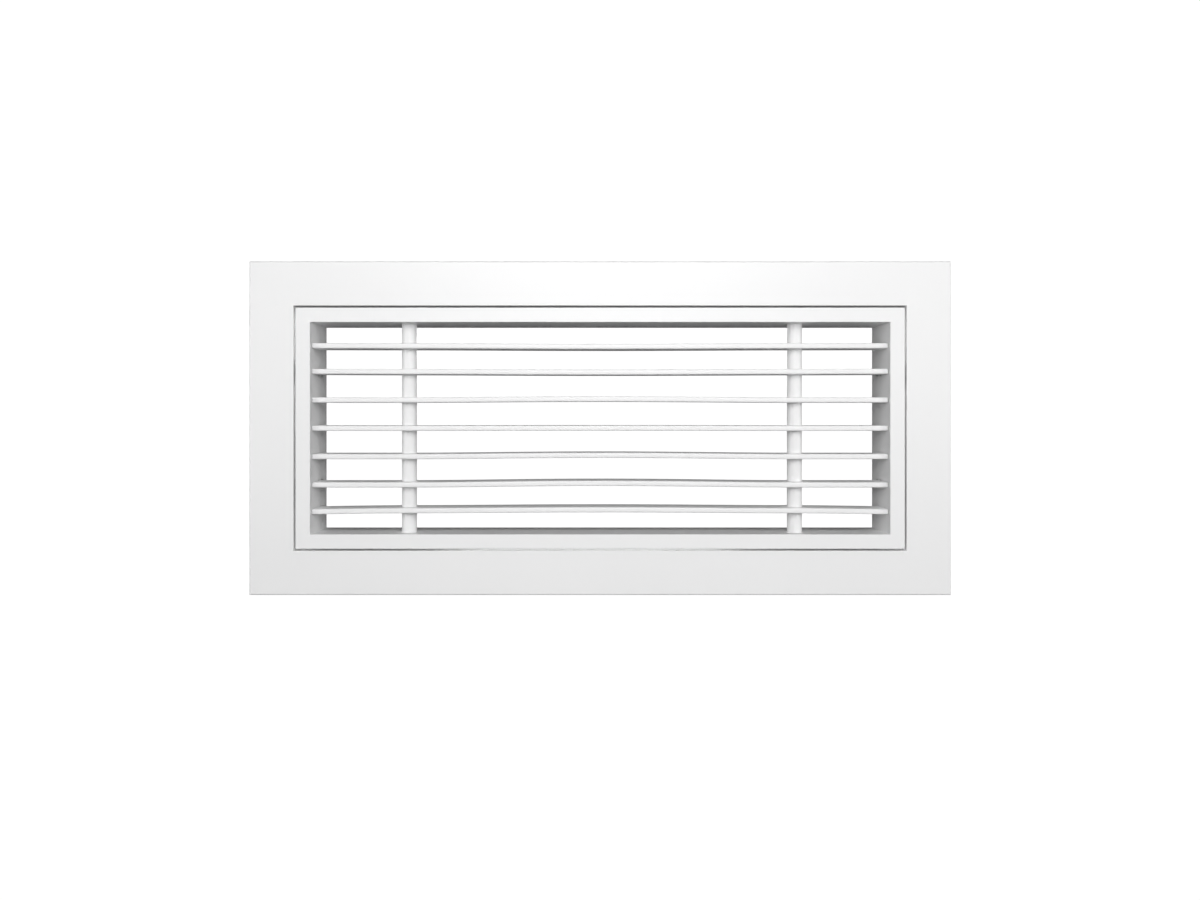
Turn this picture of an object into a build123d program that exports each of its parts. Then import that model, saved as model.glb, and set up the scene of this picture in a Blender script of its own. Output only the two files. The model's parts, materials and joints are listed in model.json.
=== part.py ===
from build123d import *
from math import asin, atan2, cos, degrees, hypot, radians, sin
import os

os.makedirs("parts", exist_ok=True)

# A louvred air grille in millimetres. X runs across, Z up, and the room is towards -Y.
# The wall's surface is the plane y = 0 and the opening in the wall is centred on the origin.

# Outer frame
frame_w = 421.2        # over the flange, left to right
frame_h = 200.4        # over the flange, bottom to top
flange_w = 26.6        # from the flange's outer edge to the frame's opening
flange_t = 1.5         # sheet of the flange
stand_off = 5.0        # the flange's front above the wall
lip_t = 1.5            # turned-back outer edge of the flange
collar_t = 1.4         # wall of the collar that goes into the opening
collar_depth = 45.0    # the collar's reach behind the wall's surface
edge_r = 1.0           # rounding of the flange's outer edge
arris_r = 0.3          # rounding of the other front edges

# Corner keys of the outer frame, and the slot behind the flange that holds them
key_w = 14.0
key_t = 2.0
key_leg = 42.0
key_play = 0.1         # room between a key and its slot
key_round_share = 0.125  # rounding of a key's outer corner against its width
rib_t = 1.2            # ribs of the slot and their inturned lips

# Concealed fixing screws through the collar's two short sides
screw_hole_d = 4.5
screw_spacing = 90.0
screw_set_back = 7.0   # from the collar's back edge

# Inner core
core_gap = 1.2         # open line between the frame and the core
core_face_w = 8.7      # the core's face, outer edge to opening
core_depth = 36.0      # front of the face to the back of the inner walls
core_t = 1.4           # face and inner walls
return_t = 1.2         # turned-back outer edge of the core's face
return_depth = 7.5
core_key_t = 2.0
core_key_leg = 24.0
core_rib = 1.0         # rib that keeps the core's keys against the face

# Blades
blade_count = 7
blade_t = 3.2
blade_depth = 19.0
blade_set_back = 3.0   # the blades' front edges behind the core's face
blade_end_gap = 0.5    # between a blade's end and the core's side wall
blade_edge_r = 0.8
short_gaps = 2         # air gaps at the top, and at the bottom, that have short spacers
short_gap_share = 0.89  # a short air gap against the others

# Mandrel rods, spacer tubes, washers and nuts
rod_d = 5.0
rod_inset_left = 57.4   # from the core's left inner wall to the left rod's axis
rod_inset_right = 54.8  # the same on the right, where the rod stands nearer its wall
rod_chamfer = 0.6
rod_past_nut = 0.8
tube_d = 9.0
hole_play = 0.2        # rod in a blade, tube, washer or rail, on the radius
washer_d = 10.0
washer_t = 1.0
nut_af = 8.0           # across the flats
nut_t = 4.0
nut_chamfer = 0.5

# Leaf spring clips on the core's two short sides
clip_t = 0.5
clip_w = 12.0
clip_leg = 16.4        # straight part of the sprung leg
clip_bend_r = 0.85     # middle of the sheet round the fold
clip_curl_r = 1.5
clip_curl_deg = 60.0
clip_front = 14.0      # the fixed leg's front end behind the core's face
clip_fold = 32.5       # the fold's centre behind the core's face
clip_slit = 0.45       # parting between the fold and the sprung leg
clip_clear = 0.3       # between the sprung leg and the collar
clip_height_share = 0.27
rivet_d = 3.0
rivet_head_d = 5.0
rivet_head_t = 1.0
rivet_sink_share = 0.667  # depth of the sunk head against the core's wall
rivet_gap = 7.0        # between a clip's two rivets
rivet_first = 18.5     # the first rivet behind the core's face

# Sizes that follow from those above
front = -stand_off
open_w = frame_w - 2 * flange_w
open_h = frame_h - 2 * flange_w
core_w = open_w - 2 * core_gap
core_h = open_h - 2 * core_gap
air_w = core_w - 2 * core_face_w
air_h = core_h - 2 * core_face_w
gap_shares = blade_count + 1 - 2 * short_gaps * (1 - short_gap_share)
air_gap = (air_h - blade_count * blade_t) / gap_shares
blade_front = front + blade_set_back
rod_y = blade_front + blade_depth / 2
rod_xs = (rod_inset_left - air_w / 2, air_w / 2 - rod_inset_right)
far = 2 * (frame_w + frame_h)


def rect(u0, u1, v0, v1):
    """A rectangle between two pairs of coordinates."""
    return Pos((u0 + u1) / 2, (v0 + v1) / 2) * Rectangle(u1 - u0, v1 - v0)


def rounded(face, u, v, radius):
    """The face with its corner nearest to u, v rounded."""
    corner = face.vertices().sort_by_distance((u, v, 0))[0]
    return fillet(corner, radius)


def mitred_rail(section, across, along, reach, turn):
    """A rail with 45 degree ends. The section's first coordinate is outward from the opening
    and its second is along Y. The opening measures 2 * across by 2 * along at this rail,
    which lies on top before it is turned about Y."""
    at_rail = Plane(origin=(0, 0, across), x_dir=(0, 0, 1), z_dir=(-1, 0, 0))
    bar = extrude(at_rail * section, amount=along + reach, both=True)
    corners = [
        (-along + 1, across - 1),
        (along - 1, across - 1),
        (along + reach, across + reach),
        (-along - reach, across + reach),
    ]
    outline = Plane.XZ * make_face(Polyline(*corners, close=True))
    return Rot(0, turn, 0) * (bar & extrude(outline, amount=far, both=True))


def frame_section():
    """Flange, turned-back lip and collar, with the ribs that hold the corner keys."""
    back = front + flange_t
    middle = (collar_t + flange_w - lip_t) / 2
    rib_depth = key_t + key_play + rib_t
    face = rect(0, flange_w, front, back)
    face += rect(flange_w - lip_t, flange_w, front, 0)
    face += rect(0, collar_t, front, collar_depth)
    for side in (-1, 1):
        inner = key_w / 2 + key_play
        limits = sorted((side * inner, side * (inner + rib_t)))
        face += Pos(middle) * rect(limits[0], limits[1], back, back + rib_depth)
        limits = sorted((side * (inner - rib_t), side * (inner + rib_t)))
        lip_from = back + key_t + key_play
        face += Pos(middle) * rect(limits[0], limits[1], lip_from, lip_from + rib_t)
    face = rounded(face, flange_w, front, edge_r)
    return rounded(face, 0, front, arris_r)


def core_section():
    """Narrow face, deep inner wall and short outer return, with the rib for the keys."""
    back = front + core_t
    face = rect(0, core_face_w, front, back)
    face += rect(0, core_t, front, front + core_depth)
    face += rect(core_face_w - return_t, core_face_w, front, front + return_depth)
    rib_from = back + core_key_t + key_play
    face += rect(core_t, core_t + core_rib, rib_from, rib_from + core_rib)
    face = rounded(face, core_face_w, front, arris_r)
    return rounded(face, 0, front, arris_r)


def frame_rails():
    """The four rails of the outer frame, with the screw holes in the short ones."""
    section = frame_section()
    half = (open_w / 2, open_h / 2)
    rails = {
        "frame_top": mitred_rail(section, half[1], half[0], flange_w, 0),
        "frame_right": mitred_rail(section, half[0], half[1], flange_w, 90),
        "frame_bottom": mitred_rail(section, half[1], half[0], flange_w, 180),
        "frame_left": mitred_rail(section, half[0], half[1], flange_w, -90),
    }
    drill = Rot(0, 90, 0) * Cylinder(screw_hole_d / 2, far)
    for z in (-screw_spacing / 2, screw_spacing / 2):
        for name in ("frame_left", "frame_right"):
            rails[name] -= Pos(0, collar_depth - screw_set_back, z) * drill
    return rails


def core_rails():
    """The core's four rails, drilled for the rods and for the clips' rivets."""
    section = core_section()
    half = (air_w / 2, air_h / 2)
    rails = {
        "core_top": mitred_rail(section, half[1], half[0], core_face_w, 0),
        "core_right": mitred_rail(section, half[0], half[1], core_face_w, 90),
        "core_bottom": mitred_rail(section, half[1], half[0], core_face_w, 180),
        "core_left": mitred_rail(section, half[0], half[1], core_face_w, -90),
    }
    for x in rod_xs:
        drill = Pos(x, rod_y) * Cylinder(rod_d / 2 + hole_play, far)
        rails["core_top"] -= drill
        rails["core_bottom"] -= drill
    for side, name in ((-1, "core_left"), (1, "core_right")):
        for rivet in rivets_on(side):
            rails[name] -= rivet
    return rails


def corner_key(middle_x, middle_z, width, thick, leg, y):
    """A flat L that fills the slot round the top right corner, laid on the plane y."""
    outer_x = middle_x + width / 2
    outer_z = middle_z + width / 2
    outline = rect(outer_x - leg, outer_x, outer_z - width, outer_z)
    outline += rect(outer_x - width, outer_x, outer_z - leg, outer_z)
    outline = rounded(outline, outer_x, outer_z, width * key_round_share)
    plane = Plane(origin=(0, y, 0), x_dir=(1, 0, 0), z_dir=(0, -1, 0))
    return extrude(plane * outline, amount=-thick)


def four_corners(name, key):
    """The key and its mirror images in the other three corners."""
    left = mirror(key, about=Plane.YZ)
    return {
        name + "_top_right": key,
        name + "_top_left": left,
        name + "_bottom_right": mirror(key, about=Plane.XY),
        name + "_bottom_left": mirror(left, about=Plane.XY),
    }


def frame_keys():
    """Keys of the outer frame, in the slot behind the flange."""
    middle = (collar_t + flange_w - lip_t) / 2
    x = open_w / 2 + middle
    z = open_h / 2 + middle
    return four_corners("frame_key", corner_key(x, z, key_w, key_t, key_leg, front + flange_t))


def core_keys():
    """Keys of the core, in the channel behind its face."""
    width = core_face_w - core_t - return_t - 2 * key_play
    middle = (core_t + core_face_w - return_t) / 2
    x = air_w / 2 + middle
    z = air_h / 2 + middle
    key = corner_key(x, z, width, core_key_t, core_key_leg, front + core_t)
    return four_corners("core_key", key)


def blade():
    """One straight blade at z = 0 with its edges rounded and its two rod holes."""
    body = Pos(0, rod_y) * Box(air_w - 2 * blade_end_gap, blade_depth, blade_t)
    body = fillet(body.edges().filter_by(Axis.X), blade_edge_r)
    for x in rod_xs:
        body -= Pos(x, rod_y) * Cylinder(rod_d / 2 + hole_play, 2 * blade_t)
    return body


def air_gaps():
    """Upper and lower limit of each air gap, from the top one down, with a blade between two."""
    found = []
    upper = air_h / 2
    for i in range(blade_count + 1):
        is_short = i < short_gaps or i > blade_count - short_gaps
        lower = upper - (air_gap * short_gap_share if is_short else air_gap)
        found.append((upper, lower))
        upper = lower - blade_t
    return found


def blades():
    """The blades, numbered from the top, each under its air gap."""
    one = blade()
    found = {}
    for i in range(blade_count):
        top = air_gaps()[i][1]
        found[f"blade_{i + 1}"] = Pos(0, 0, top - blade_t / 2) * one
    return found


def spacer_tubes():
    """The spacers of both columns, numbered from the top."""
    ring = Circle(tube_d / 2) - Circle(rod_d / 2 + hole_play)
    found = {}
    for side, x in zip(("left", "right"), rod_xs):
        for i, (upper, lower) in enumerate(air_gaps()):
            foot = Plane.XY.offset(lower) * (Pos(x, rod_y) * ring)
            found[f"tube_{side}_{i + 1}"] = extrude(foot, upper - lower)
    return found


def rods():
    """The two mandrel rods that tie the blades and spacers to the core."""
    half = air_h / 2 + core_t + washer_t + nut_t + rod_past_nut
    rod = Cylinder(rod_d / 2, 2 * half)
    rod = chamfer(rod.edges().filter_by(GeomType.CIRCLE), rod_chamfer)
    return {"rod_left": Pos(rod_xs[0], rod_y) * rod, "rod_right": Pos(rod_xs[1], rod_y) * rod}


def washer():
    """A flat washer standing on z = 0."""
    return extrude(Circle(washer_d / 2) - Circle(rod_d / 2 + hole_play), washer_t)


def nut():
    """A hexagon nut standing on z = 0 with the corners of both faces turned off."""
    hexagon = extrude(RegularPolygon(nut_af / 2, 6, major_radius=False), nut_t)
    blank = Pos(0, 0, nut_t / 2) * Cylinder(nut_af / 2 / cos(radians(30)), nut_t)
    blank = chamfer(blank.edges().filter_by(GeomType.CIRCLE), nut_chamfer)
    return (hexagon & blank) - Cylinder(rod_d / 2 + key_play, 3 * nut_t)


def on_rod_ends(piece, above_rail):
    """Four copies, one outside the core at each end of each rod."""
    copies = []
    for x in rod_xs:
        upper = Pos(x, rod_y, air_h / 2 + core_t + above_rail) * piece
        copies += [upper, mirror(upper, about=Plane.XY)]
    return Compound(children=copies)


def clip_angles():
    """The sprung leg's lean that brings its curl to the right distance from the collar."""
    space = core_gap + core_face_w - core_t
    reach = space - clip_clear - clip_t - clip_bend_r
    slope = asin((reach - clip_curl_r) / hypot(clip_leg, clip_bend_r - clip_curl_r))
    return slope - atan2(clip_bend_r - clip_curl_r, clip_leg)


def clip_fold_at():
    """Centre of the fold of a clip on the right side."""
    return air_w / 2 + core_t + clip_t / 2 + clip_bend_r, front + clip_fold


def strip(path):
    """Spring strip of the clip's width and thickness along a path in the plane z = 0."""
    start = Plane(origin=path @ 0, x_dir=(0, 0, 1), z_dir=path % 0)
    return sweep(start * Rectangle(clip_w, clip_t), path=path)


def clip_base():
    """The fixed leg and the fold of a clip on the right side."""
    x, y = clip_fold_at()
    leg_x = x - clip_bend_r
    leg = Line((leg_x, front + clip_front), (leg_x, y))
    swept = 180 - degrees(clip_angles()) - degrees(clip_slit / clip_bend_r)
    bend = CenterArc((x, y), clip_bend_r, 180, -swept)
    body = strip(leg + bend)
    for at in (rivet_first, rivet_first + rivet_gap):
        drill = Pos(leg_x, front + at) * Rot(0, 90, 0) * Cylinder(rivet_d / 2, 4 * clip_t)
        body -= drill
    return body


def clip_spring():
    """The sprung leg of a clip on the right side, with its free end curled back."""
    x, y = clip_fold_at()
    lean = clip_angles()
    start = (x + clip_bend_r * cos(lean), y + clip_bend_r * sin(lean))
    end = (start[0] + clip_leg * sin(lean), start[1] - clip_leg * cos(lean))
    centre = (end[0] - clip_curl_r * cos(lean), end[1] - clip_curl_r * sin(lean))
    curl = CenterArc(centre, clip_curl_r, degrees(lean), -clip_curl_deg)
    return strip(Line(start, end) + curl)


def rivet(side, y, z):
    """A rivet with a head sunk flush in the core's wall and a round head on the clip."""
    wall = air_w / 2
    outer = wall + core_t + clip_t
    profile = Polyline(
        (0, wall),
        (rivet_head_d / 2, wall),
        (rivet_d / 2, wall + core_t * rivet_sink_share),
        (rivet_d / 2, outer),
        (rivet_head_d / 2, outer),
    )
    dome_r = ((rivet_head_d / 2) ** 2 + rivet_head_t ** 2) / (2 * rivet_head_t)
    dome = RadiusArc((rivet_head_d / 2, outer), (0, outer + rivet_head_t), -dome_r)
    close = Line((0, outer + rivet_head_t), (0, wall))
    section = Plane.XZ * make_face(profile + dome + close)
    turned = Rot(0, 90, 0) * revolve(section, Axis.Z)
    placed = Pos(0, y, z) * turned
    return placed if side > 0 else mirror(placed, about=Plane.YZ)


def clip_heights():
    """Heights of the lower and the upper clip of each side."""
    return (("lower", -air_h * clip_height_share), ("upper", air_h * clip_height_share))


def rivets_on(side):
    """The rivets of the two clips of one side."""
    rows = (front + rivet_first, front + rivet_first + rivet_gap)
    return [rivet(side, y, z) for _, z in clip_heights() for y in rows]


def clips():
    """Fixed and sprung legs of the four clips."""
    found = {}
    base = clip_base()
    spring = clip_spring()
    for level, z in clip_heights():
        for kind, piece in (("clip_base", base), ("clip_spring", spring)):
            placed = Pos(0, 0, z) * piece
            found[f"{kind}_right_{level}"] = placed
            found[f"{kind}_left_{level}"] = mirror(placed, about=Plane.YZ)
    return found


pieces = {}
pieces.update(frame_rails())
pieces.update(frame_keys())
pieces.update(core_rails())
pieces.update(core_keys())
pieces.update(blades())
pieces.update(spacer_tubes())
pieces.update(rods())
pieces["washers"] = on_rod_ends(washer(), 0)
pieces["nuts"] = on_rod_ends(nut(), washer_t)
pieces.update(clips())
pieces["clip_rivets"] = Compound(children=rivets_on(-1) + rivets_on(1))

for name, shape in pieces.items():
    export_step(shape, f"parts/{name}.step")
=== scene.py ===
import json
import math

import bmesh
import bpy
import numpy as np
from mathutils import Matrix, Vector

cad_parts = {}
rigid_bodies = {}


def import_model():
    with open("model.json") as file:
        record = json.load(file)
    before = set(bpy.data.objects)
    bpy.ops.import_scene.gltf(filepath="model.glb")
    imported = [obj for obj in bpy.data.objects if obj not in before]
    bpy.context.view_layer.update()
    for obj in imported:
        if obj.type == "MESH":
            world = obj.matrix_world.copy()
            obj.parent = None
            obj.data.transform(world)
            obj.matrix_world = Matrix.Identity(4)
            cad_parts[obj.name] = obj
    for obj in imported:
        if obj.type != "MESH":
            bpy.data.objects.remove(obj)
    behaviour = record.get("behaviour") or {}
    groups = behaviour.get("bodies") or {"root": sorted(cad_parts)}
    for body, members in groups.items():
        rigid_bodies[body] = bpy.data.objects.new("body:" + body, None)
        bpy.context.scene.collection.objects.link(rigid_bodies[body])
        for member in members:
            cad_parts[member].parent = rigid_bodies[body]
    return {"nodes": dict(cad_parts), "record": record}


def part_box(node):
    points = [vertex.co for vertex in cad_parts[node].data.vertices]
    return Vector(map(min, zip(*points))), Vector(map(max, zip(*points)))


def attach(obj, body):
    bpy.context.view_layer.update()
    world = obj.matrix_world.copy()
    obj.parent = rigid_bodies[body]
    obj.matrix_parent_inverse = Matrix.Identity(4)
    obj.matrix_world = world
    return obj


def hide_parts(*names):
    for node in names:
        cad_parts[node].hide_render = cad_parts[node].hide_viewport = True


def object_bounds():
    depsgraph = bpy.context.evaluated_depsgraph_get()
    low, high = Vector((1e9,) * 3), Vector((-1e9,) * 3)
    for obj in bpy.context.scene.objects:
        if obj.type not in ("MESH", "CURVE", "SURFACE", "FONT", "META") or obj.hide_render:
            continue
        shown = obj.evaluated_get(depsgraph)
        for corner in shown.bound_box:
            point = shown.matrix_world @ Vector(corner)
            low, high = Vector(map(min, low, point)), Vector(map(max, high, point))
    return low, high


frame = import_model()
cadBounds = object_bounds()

print("frame loaded:", len(frame["nodes"]), "nodes")


class Value:
    # a number that changes over a surface; arithmetic on it adds Math nodes
    def __init__(self, finish, socket):
        self.finish = finish
        self.socket = socket

    def maths(self, operation, first, second=None, clamp=False):
        values = {0: first}
        if second is not None:
            values[1] = second
        settings = {"operation": operation, "use_clamp": clamp}
        return self.finish.node("ShaderNodeMath", settings, values).value(0)

    def __add__(self, other):
        return self.maths("ADD", self, other)

    def __radd__(self, other):
        return self.maths("ADD", other, self)

    def __sub__(self, other):
        return self.maths("SUBTRACT", self, other)

    def __rsub__(self, other):
        return self.maths("SUBTRACT", other, self)

    def __mul__(self, other):
        return self.maths("MULTIPLY", self, other)

    def __rmul__(self, other):
        return self.maths("MULTIPLY", other, self)

    def clamped(self):
        return self.maths("ADD", self, 0.0, clamp=True)


class Node:
    def __init__(self, finish, made):
        self.finish = finish
        self.made = made

    def value(self, output):
        return Value(self.finish, self.made.outputs[output])


class Finish:
    # one material, or the world, and its node tree
    def __init__(self, name, owner=None):
        self.owner = owner or bpy.data.materials.new(name)
        self.owner.use_nodes = True
        self.tree = self.owner.node_tree
        self.tree.nodes.clear()

    def node(self, kind, settings=None, values=None):
        # makes a node: its settings first, then numbers or links for its inputs
        made = self.tree.nodes.new(kind)
        for name, setting in (settings or {}).items():
            setattr(made, name, setting)
        for name, given in (values or {}).items():
            if isinstance(given, Value):
                self.tree.links.new(given.socket, made.inputs[name])
            else:
                made.inputs[name].default_value = given
        return Node(self, made)

    def place(self, scale=(1.0, 1.0, 1.0)):
        # object coordinates in metres, stretched by scale
        coords = self.node("ShaderNodeTexCoord").value("Object")
        return self.node("ShaderNodeMapping", None, {"Vector": coords, "Scale": scale}).value(0)

    def noise(self, vector, scale, detail=2.0, roughness=0.5):
        values = {"Vector": vector, "Scale": scale, "Detail": detail, "Roughness": roughness}
        return self.node("ShaderNodeTexNoise", None, values).value(0)

    def blend(self, amount, low, high):
        # a colour between low and high
        settings = {"data_type": "RGBA"}
        return self.node("ShaderNodeMix", settings, {0: amount, 6: low, 7: high}).value(2)

    def bump(self, height, strength, distance):
        values = {"Height": height, "Strength": strength, "Distance": distance}
        return self.node("ShaderNodeBump", None, values).value(0)

    def shade(self, values):
        shader = self.node("ShaderNodeBsdfPrincipled", None, values).value(0)
        self.node("ShaderNodeOutputMaterial", None, {"Surface": shader})
        return self.owner


powderCoat = {
    "white": (0.865, 0.865, 0.865, 1.0),
    "thin": (0.835, 0.836, 0.838, 1.0),   # where the coat lies thinner
    "roughness": 0.42,
    "roughnessChange": 0.06,
    "peelSize": 620.0,                    # cells of orange peel per metre
    "peelDetail": 1.5,
    "peelRoughness": 0.45,
    "peelHeight": 0.00004,
    "peelStrength": 0.10,
    "grainFiner": 5.0,                    # grain against peel, cells per metre
    "grainDetail": 1.0,
    "grainShare": 0.12,                   # height of the grain against the peel
    "cloudSize": 9.0,
    "cloudDetail": 3.0,
    "ior": 1.5,
}

# painted shade: a darker copy of the same white coat, so the spacer tubes show duller than the blades
shadedTubeCoat = dict(powderCoat, white=(0.81, 0.81, 0.81, 1.0), thin=(0.78, 0.781, 0.783, 1.0))


def makePowderCoat(name, look):
    coat = Finish(name)
    where = coat.place()
    peel = coat.noise(where, look["peelSize"], look["peelDetail"], look["peelRoughness"])
    grain = coat.noise(where, look["peelSize"] * look["grainFiner"], look["grainDetail"])
    cloud = coat.noise(where, look["cloudSize"], look["cloudDetail"])
    colour = coat.blend(cloud.clamped(), look["thin"], look["white"])
    rough = look["roughness"] + (cloud - 0.5) * look["roughnessChange"]
    height = peel + grain * look["grainShare"]
    return coat.shade({
        "Base Color": colour,
        "Roughness": rough,
        "Normal": coat.bump(height, look["peelStrength"], look["peelHeight"]),
        "IOR": look["ior"],
    })


millAluminium = {
    "light": (0.78, 0.79, 0.80, 1.0),
    "dark": (0.62, 0.63, 0.65, 1.0),
    "roughness": 0.36,
    "roughnessChange": 0.25,
    "lineSize": 2600.0,
    "lineSquash": 0.03,                   # lines per metre along the draw against across it
    "lineStrength": 0.3,
    "lineHeight": 0.00002,
}


def makeMillAluminium(look):
    # drawn lines run with the extrusion, here both ways across the flat keys
    metal = Finish("millAluminium")
    across = metal.noise(metal.place((1.0, 1.0, look["lineSquash"])), look["lineSize"])
    along = metal.noise(metal.place((look["lineSquash"], 1.0, 1.0)), look["lineSize"])
    lines = (across + along) * 0.5
    colour = metal.blend(lines.clamped(), look["dark"], look["light"])
    return metal.shade({
        "Base Color": colour,
        "Metallic": 1.0,
        "Roughness": look["roughness"] + (lines - 0.5) * look["roughnessChange"],
        "Normal": metal.bump(lines, look["lineStrength"], look["lineHeight"]),
    })


zincPlate = {
    "bright": (0.74, 0.75, 0.77, 1.0),
    "passive": (0.66, 0.65, 0.56, 1.0),   # faint straw tint of the passivation
    "roughness": 0.28,
    "roughnessChange": 0.18,
    "bloomSize": 240.0,
    "bloomDetail": 4.0,
    "bloomGain": 1.6,                     # contrast of the tint
    "bloomStart": 0.4,
    "spangleSize": 1500.0,
    "spangleDetail": 2.0,
    "spangleStrength": 0.25,
    "spangleHeight": 0.00002,
}


def makeZincPlate(look):
    metal = Finish("zincPlatedSteel")
    where = metal.place()
    bloom = metal.noise(where, look["bloomSize"], look["bloomDetail"])
    spangle = metal.noise(where, look["spangleSize"], look["spangleDetail"])
    tint = bloom * look["bloomGain"] - look["bloomStart"]
    colour = metal.blend(tint.clamped(), look["bright"], look["passive"])
    return metal.shade({
        "Base Color": colour,
        "Metallic": 1.0,
        "Roughness": look["roughness"] + bloom * look["roughnessChange"],
        "Normal": metal.bump(spangle, look["spangleStrength"], look["spangleHeight"]),
    })


springSteel = {
    "light": (0.66, 0.67, 0.69, 1.0),
    "dark": (0.46, 0.47, 0.50, 1.0),
    "roughness": 0.42,
    "roughnessChange": 0.3,
    "lineSize": 3200.0,
    "lineSquash": 0.05,
    "lineShare": 0.6,
    "lineStrength": 0.3,
    "lineHeight": 0.00002,
    "heatSize": 130.0,                    # cells of heat tint per metre
    "heatDetail": 3.0,
    "heatShare": 0.4,
}


def makeSpringSteel(look):
    # rolled strip: fine lines along the strip's length, which lies in the XY plane
    metal = Finish("springSteel")
    squash = look["lineSquash"]
    lines = metal.noise(metal.place((squash, squash, 1.0)), look["lineSize"])
    heat = metal.noise(metal.place(), look["heatSize"], look["heatDetail"])
    tone = lines * look["lineShare"] + heat * look["heatShare"]
    colour = metal.blend(tone.clamped(), look["dark"], look["light"])
    return metal.shade({
        "Base Color": colour,
        "Metallic": 1.0,
        "Roughness": look["roughness"] + (lines - 0.5) * look["roughnessChange"],
        "Normal": metal.bump(lines, look["lineStrength"], look["lineHeight"]),
    })


finishes = {
    "white_powder_coat": makePowderCoat("whitePowderCoat", powderCoat),
    "mill_aluminium": makeMillAluminium(millAluminium),
    "zinc_plated_steel": makeZincPlate(zincPlate),
    "spring_steel": makeSpringSteel(springSteel),
}

# the spacer tubes get the darker copy of the white coat, which paints shade on them
shadedSpacerFinish = makePowderCoat("spacerCoat", shadedTubeCoat)
for part in frame["record"]["subparts"]:
    node = frame["nodes"][part["node"]]
    finish = finishes[part["material_slot"]]
    if part["node"].startswith("tube_"):
        finish = shadedSpacerFinish
    node.data.materials.clear()
    node.data.materials.append(finish)


def gridMesh(name, grid, capped=False):
    # quads between neighbouring points; capped joins the last column to the first and shuts both ends
    rows, columns = grid.shape[:2]
    i = np.arange(rows - 1)[:, None]
    j = np.arange(columns if capped else columns - 1)[None, :]
    k = (j + 1) % columns
    corners = (i * columns + j, i * columns + k, (i + 1) * columns + k, (i + 1) * columns + j)
    faces = np.stack(corners, axis=-1).reshape(-1, 4).tolist()
    if capped:
        faces.append(list(range(columns)))
        faces.append(list(range((rows - 1) * columns, rows * columns)))
    mesh = bpy.data.meshes.new(name)
    mesh.from_pydata(grid.reshape(-1, 3).tolist(), [], faces)
    if capped:
        work = bmesh.new()
        work.from_mesh(mesh)
        bmesh.ops.recalc_face_normals(work, faces=work.faces)
        work.to_mesh(mesh)
        work.free()
    mesh.update()
    piece = bpy.data.objects.new(name, mesh)
    bpy.context.scene.collection.objects.link(piece)
    return piece


def soften(piece, angle):
    # smooth shading, with edges sharper than the angle left crisp
    piece.data.shade_smooth()
    piece.data.set_sharp_from_angle(angle=math.radians(angle))


bladeForm = {
    "nodes": ["blade_%d" % number for number in range(1, 8)],
    "middleRise": (-0.38, -0.33, 0.55, 0.10, 0.80, 0.95, 0.55),   # mm, halfway between the rods
    "endRise": (0.10, 0.20, 0.0, 0.05, 0.0, 0.0, -0.70),          # mm, at the two tips
    "noseDrop": 0.5,            # degrees, the front edge below the back
    "cornerRadius": 0.0008,
    "cornerSteps": 5,
    "tipBevel": 0.00025,
    "stations": 121,
    "holeRadius": 0.0027,
    "holeSides": 32,
    "crispOver": 40.0,          # degrees, edges sharper than this stay crisp
}


def roundedProfile(halfDepth, halfThick, radius, steps):
    # rounded rectangle: corner k turns through 90 degrees about its own centre,
    # (y, z) = centre(k) + radius * (cos a, sin a)
    turn = np.linspace(0.0, math.pi / 2, steps)
    angle = turn[None, :] + np.arange(4)[:, None] * math.pi / 2
    signs = np.array([(1, 1), (-1, 1), (-1, -1), (1, -1)])
    centre = signs * np.array([halfDepth - radius, halfThick - radius])
    y = centre[:, :1] + radius * np.cos(angle)
    z = centre[:, 1:] + radius * np.sin(angle)
    return np.stack([y.ravel(), z.ravel()], axis=1)


def bladeLift(x, rods, halfLength, middleRise, endRise):
    # between the rods: middle * (1 - t^2)^2, with t = -1 and 1 at the rods;
    # outside them: end * s^1.5, with s from 0 at the rod to 1 at the tip
    middle = (rods[0] + rods[1]) / 2
    reach = (rods[1] - rods[0]) / 2
    t = (x - middle) / reach
    between = np.where(np.abs(t) < 1.0, (1.0 - t ** 2) ** 2, 0.0)
    overhang = np.where(x > middle, halfLength - rods[1], halfLength + rods[0])
    s = np.clip((np.abs(x - middle) - reach) / overhang, 0.0, 1.0)
    return middleRise * between + endRise * s ** 1.5


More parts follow.
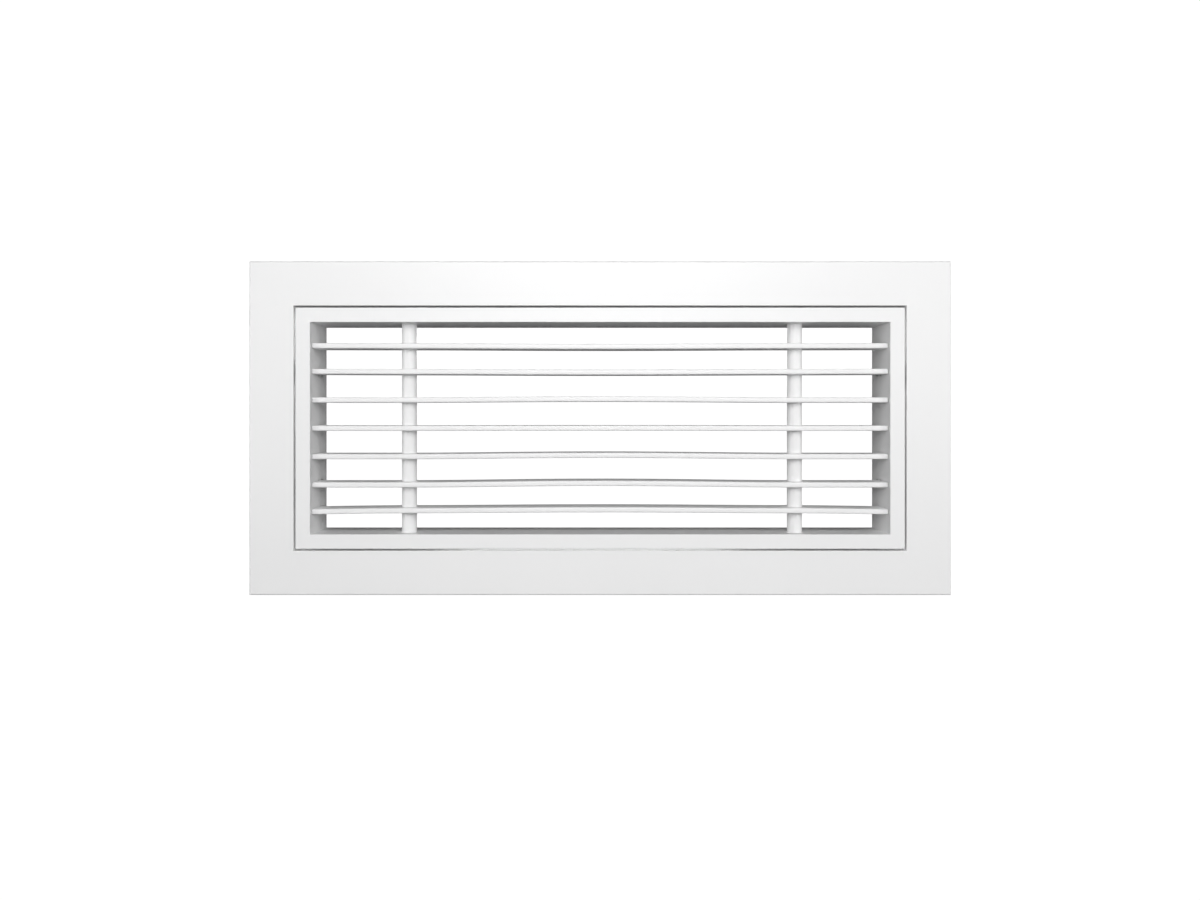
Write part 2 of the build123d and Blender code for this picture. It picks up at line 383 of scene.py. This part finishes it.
def makeBlade(look, index, rods, rodY):
    # a rounded flat bar carried along X: point = (x, y, z) + (0, 0, lift(x) - nose * (yRod - y)),
    # and at the two tips the profile shrinks by a small bevel
    node = look["nodes"][index]
    low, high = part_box(node)
    halfLength = (high.x - low.x) / 2
    bevel = look["tipBevel"]
    inner = np.linspace(-halfLength + bevel, halfLength - bevel, look["stations"])
    x = np.concatenate([[-halfLength], inner, [halfLength]])
    halfDepth = (high.y - low.y) / 2
    halfThick = (high.z - low.z) / 2
    full = roundedProfile(halfDepth, halfThick, look["cornerRadius"], look["cornerSteps"])
    shrunk = full * np.array([1.0 - bevel / halfDepth, 1.0 - bevel / halfThick])
    profile = np.repeat(full[None], len(x), axis=0)
    profile[[0, -1]] = shrunk
    rise = look["middleRise"][index] / 1000, look["endRise"][index] / 1000
    lift = bladeLift(x, rods, halfLength, *rise)
    grid = np.empty((len(x), len(full), 3))
    grid[..., 0] = x[:, None]
    grid[..., 1] = profile[..., 0] + (low.y + high.y) / 2
    nose = math.tan(math.radians(look["noseDrop"]))
    grid[..., 2] = profile[..., 1] + (low.z + high.z) / 2 + lift[:, None]
    grid[..., 2] += (grid[..., 1] - rodY) * nose
    piece = gridMesh(node.replace("_", "") + "Bent", grid, capped=True)
    for rodX in rods:
        drill(piece, rodX, rodY, look["holeRadius"], look["holeSides"])
    soften(piece, look["crispOver"])
    piece.data.materials.append(finishes["white_powder_coat"])
    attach(piece, "core")
    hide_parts(node)


def drill(piece, x, y, radius, sides):
    # takes an upright round hole out of the piece; the cutter is a cylinder as tall as the grille,
    # point(a, z) = (x + radius * cos a, y + radius * sin a, z)
    turn = np.linspace(0.0, 2 * math.pi, sides, endpoint=False)
    z = np.array([cadBounds[0].z, cadBounds[1].z])
    grid = np.empty((2, len(turn), 3))
    grid[..., 0] = x + radius * np.cos(turn)
    grid[..., 1] = y + radius * np.sin(turn)
    grid[..., 2] = z[:, None]
    cutter = gridMesh("cutter", grid, capped=True)
    cut = piece.modifiers.new("hole", "BOOLEAN")
    cut.operation = "DIFFERENCE"
    cut.object = cutter
    cut.solver = "EXACT"
    bpy.context.view_layer.update()
    shape = piece.evaluated_get(bpy.context.evaluated_depsgraph_get())
    drilled = bpy.data.meshes.new_from_object(shape)
    piece.modifiers.clear()
    blank = piece.data
    piece.data = drilled
    drilled.name = blank.name
    bpy.data.meshes.remove(blank)
    bpy.data.objects.remove(cutter)


rodForm = {
    "nodes": ("rod_left", "rod_right"),
    "pitch": 0.0008,             # of the thread
    "depth": 0.00043,
    "thread": 0.0125,            # threaded length at each end
    "runOut": 0.0008,            # where the thread fades into the plain shank
    "chamfer": 0.0006,
    "around": 48,
    "perPitch": 6,
    "shankStations": 24,
    "crispOver": 35.0,
}


def makeRod(look, node):
    # radius(z, a) = full radius - depth * triangle(z / pitch - a / turn) * fade(z), cut back at the
    # chamfered ends; triangle goes 0 to 1 to 0 in each pitch and fade is 1 only near the two ends
    low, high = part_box(node)
    centre = (low.x + high.x) / 2, (low.y + high.y) / 2
    radius = (high.x - low.x) / 2
    step = look["pitch"] / look["perPitch"]
    threaded = np.arange(0.0, look["thread"] + look["runOut"], step)
    length = high.z - low.z
    shankEnds = threaded[-1] + step, length - threaded[-1] - step
    shank = np.linspace(*shankEnds, look["shankStations"])
    along = np.concatenate([threaded, shank, (length - threaded)[::-1]])
    turn = np.linspace(0.0, 2 * math.pi, look["around"], endpoint=False)
    fromEnd = np.minimum(along, length - along)
    fade = np.clip((look["thread"] + look["runOut"] - fromEnd) / look["runOut"], 0.0, 1.0)
    phase = along[:, None] / look["pitch"] - turn[None, :] / (2 * math.pi)
    triangle = 1.0 - np.abs(2.0 * (phase % 1.0) - 1.0)
    spread = radius - look["depth"] * triangle * fade[:, None]
    spread = np.minimum(spread, (radius - look["chamfer"] + fromEnd)[:, None])
    grid = np.empty((len(along), len(turn), 3))
    grid[..., 0] = centre[0] + spread * np.cos(turn)
    grid[..., 1] = centre[1] + spread * np.sin(turn)
    grid[..., 2] = low.z + along[:, None]
    piece = gridMesh(node.replace("_", "") + "Threaded", grid, capped=True)
    soften(piece, look["crispOver"])
    piece.data.materials.append(finishes["zinc_plated_steel"])
    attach(piece, "core")
    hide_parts(node)


rodBoxes = [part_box(node) for node in rodForm["nodes"]]
rodXs = [(low.x + high.x) / 2 for low, high in rodBoxes]
rodY = (rodBoxes[0][0].y + rodBoxes[0][1].y) / 2
for index in range(len(bladeForm["nodes"])):
    makeBlade(bladeForm, index, rodXs, rodY)
print("blades made:", len(bladeForm["nodes"]))
for node in rodForm["nodes"]:
    makeRod(rodForm, node)
print("rods made:", len(rodForm["nodes"]))


stage = {
    "reach": 4.0,          # half the floor's width
    "depthInFront": 3.0,
    "depthBehind": 2.5,
    "height": 3.5,
    "bend": 0.6,           # radius where the floor turns up into the backdrop
    "bendStations": 17,
    "grey": 0.25,
    "seen": 1.05,          # brightness that the camera sees
}


def sweptSheet(name, profile, halfWidth):
    # a profile in the YZ plane carried straight along X: point(u, v) = (u * halfWidth, y(v), z(v))
    u = np.linspace(-1.0, 1.0, 3)
    grid = np.empty((len(u), len(profile), 3))
    grid[..., 0] = (u * halfWidth)[:, None]
    grid[..., 1:] = profile[None, :, :]
    return gridMesh(name, grid)


def makeStage(look):
    # a flat floor, then a quarter circle (y, z) = (bendY + bend * cos a, bend * (1 + sin a)),
    # then an upright backdrop
    floorZ = cadBounds[0].z
    turn = np.linspace(-math.pi / 2, 0.0, look["bendStations"])
    bendY = look["depthBehind"] - look["bend"]
    arc = np.stack([bendY + look["bend"] * np.cos(turn), look["bend"] * (1 + np.sin(turn))], 1)
    front = np.array([[-look["depthInFront"], 0.0]])
    top = np.array([[look["depthBehind"], look["height"]]])
    profile = np.concatenate([front, arc, top])
    profile[:, 1] += floorZ
    sheet = sweptSheet("stageFloor", profile, look["reach"])
    pale = Finish("paleFloor")
    white = (1.0, 1.0, 1.0, 1.0)
    grey = (look["grey"], look["grey"], look["grey"], 1.0)
    glow = {"Color": white, "Strength": look["seen"]}
    seen = pale.node("ShaderNodeEmission", None, glow).value(0)
    matt = pale.node("ShaderNodeBsdfDiffuse", None, {"Color": grey}).value(0)
    eye = pale.node("ShaderNodeLightPath").value("Is Camera Ray")
    both = pale.node("ShaderNodeMixShader", None, {0: eye, 1: matt, 2: seen}).value(0)
    pale.node("ShaderNodeOutputMaterial", None, {"Surface": both})
    sheet.data.materials.append(pale.owner)


makeStage(stage)


camera = {
    "distance": 0.559,        # from the grille's face
    "aside": -0.0078,         # of the axis from the grille's middle
    "above": 0.0055,
    "lens": 27.96,
    "sensor": 36.0,
    "nearest": 0.02,
    "shiftX": 0.01075,
    "shiftY": -0.0258,
}


def makeCamera(look):
    data = bpy.data.cameras.new("camera")
    data.lens = look["lens"]
    data.sensor_width = look["sensor"]
    data.shift_x = look["shiftX"]
    data.shift_y = look["shiftY"]
    data.clip_start = look["nearest"]
    eye = bpy.data.objects.new("camera", data)
    bpy.context.scene.collection.objects.link(eye)
    faceY = cadBounds[0].y
    eye.location = (look["aside"], faceY - look["distance"], look["above"])
    eye.rotation_euler = (math.pi / 2, 0.0, 0.0)
    bpy.context.scene.camera = eye


lamps = {
    "key": {"at": (0.015, -0.72, 0.31), "size": (0.45, 0.45), "watts": 4.5},
    "left": {"at": (-0.95, -0.62, 0.03), "size": (0.35, 0.30), "watts": 3.85},
    "right": {"at": (0.95, -0.62, 0.03), "size": (0.35, 0.30), "watts": 4.4},
    "behind": {"at": (0.0, 1.1, 0.25), "size": (0.50, 0.35), "watts": 5.0},
}

# the lamp behind shows the back, and leaves the core's inner walls in their own shade
litFromBehind = ("frame_", "core_key", "tube_", "clip_base", "clip_spring", "washers", "nuts", "rod")


def makeLamp(name, look):
    data = bpy.data.lights.new(name, "AREA")
    data.shape = "RECTANGLE"
    data.size = look["size"][0]
    data.size_y = look["size"][1]
    data.energy = look["watts"]
    lamp = bpy.data.objects.new(name, data)
    bpy.context.scene.collection.objects.link(lamp)
    lamp.location = look["at"]
    lamp.rotation_euler = (-Vector(look["at"])).to_track_quat("-Z", "Y").to_euler()
    lamp.visible_camera = False
    return lamp


def lightOnly(lamp, starts):
    # the lamp shines on the pieces whose names start so, and on nothing else
    lit = bpy.data.collections.new(lamp.name + "Lit")
    for piece in bpy.context.scene.objects:
        if piece.type == "MESH" and piece.name.startswith(starts):
            lit.objects.link(piece)
    lamp.light_linking.receiver_collection = lit


room = {
    "strength": 0.02,     # a weak even light from all round
    "seen": 1.05,         # what the camera sees beyond the floor
}


def makeRoom(look):
    world = bpy.data.worlds.new("room")
    bpy.context.scene.world = world
    world.use_nodes = True
    sky = Finish("room", world)
    white = (1.0, 1.0, 1.0, 1.0)
    weak = {"Color": white, "Strength": look["strength"]}
    plain = {"Color": white, "Strength": look["seen"]}
    light = sky.node("ShaderNodeBackground", None, weak).value(0)
    seen = sky.node("ShaderNodeBackground", None, plain).value(0)
    eye = sky.node("ShaderNodeLightPath").value("Is Camera Ray")
    both = sky.node("ShaderNodeMixShader", None, {0: eye, 1: light, 2: seen}).value(0)
    sky.node("ShaderNodeOutputWorld", None, {"Surface": both})


makeCamera(camera)
made = {name: makeLamp(name, look) for name, look in lamps.items()}
lightOnly(made["behind"], litFromBehind)
makeRoom(room)
bpy.context.scene.view_settings.view_transform = "Standard"
print("camera, lights and floor made")
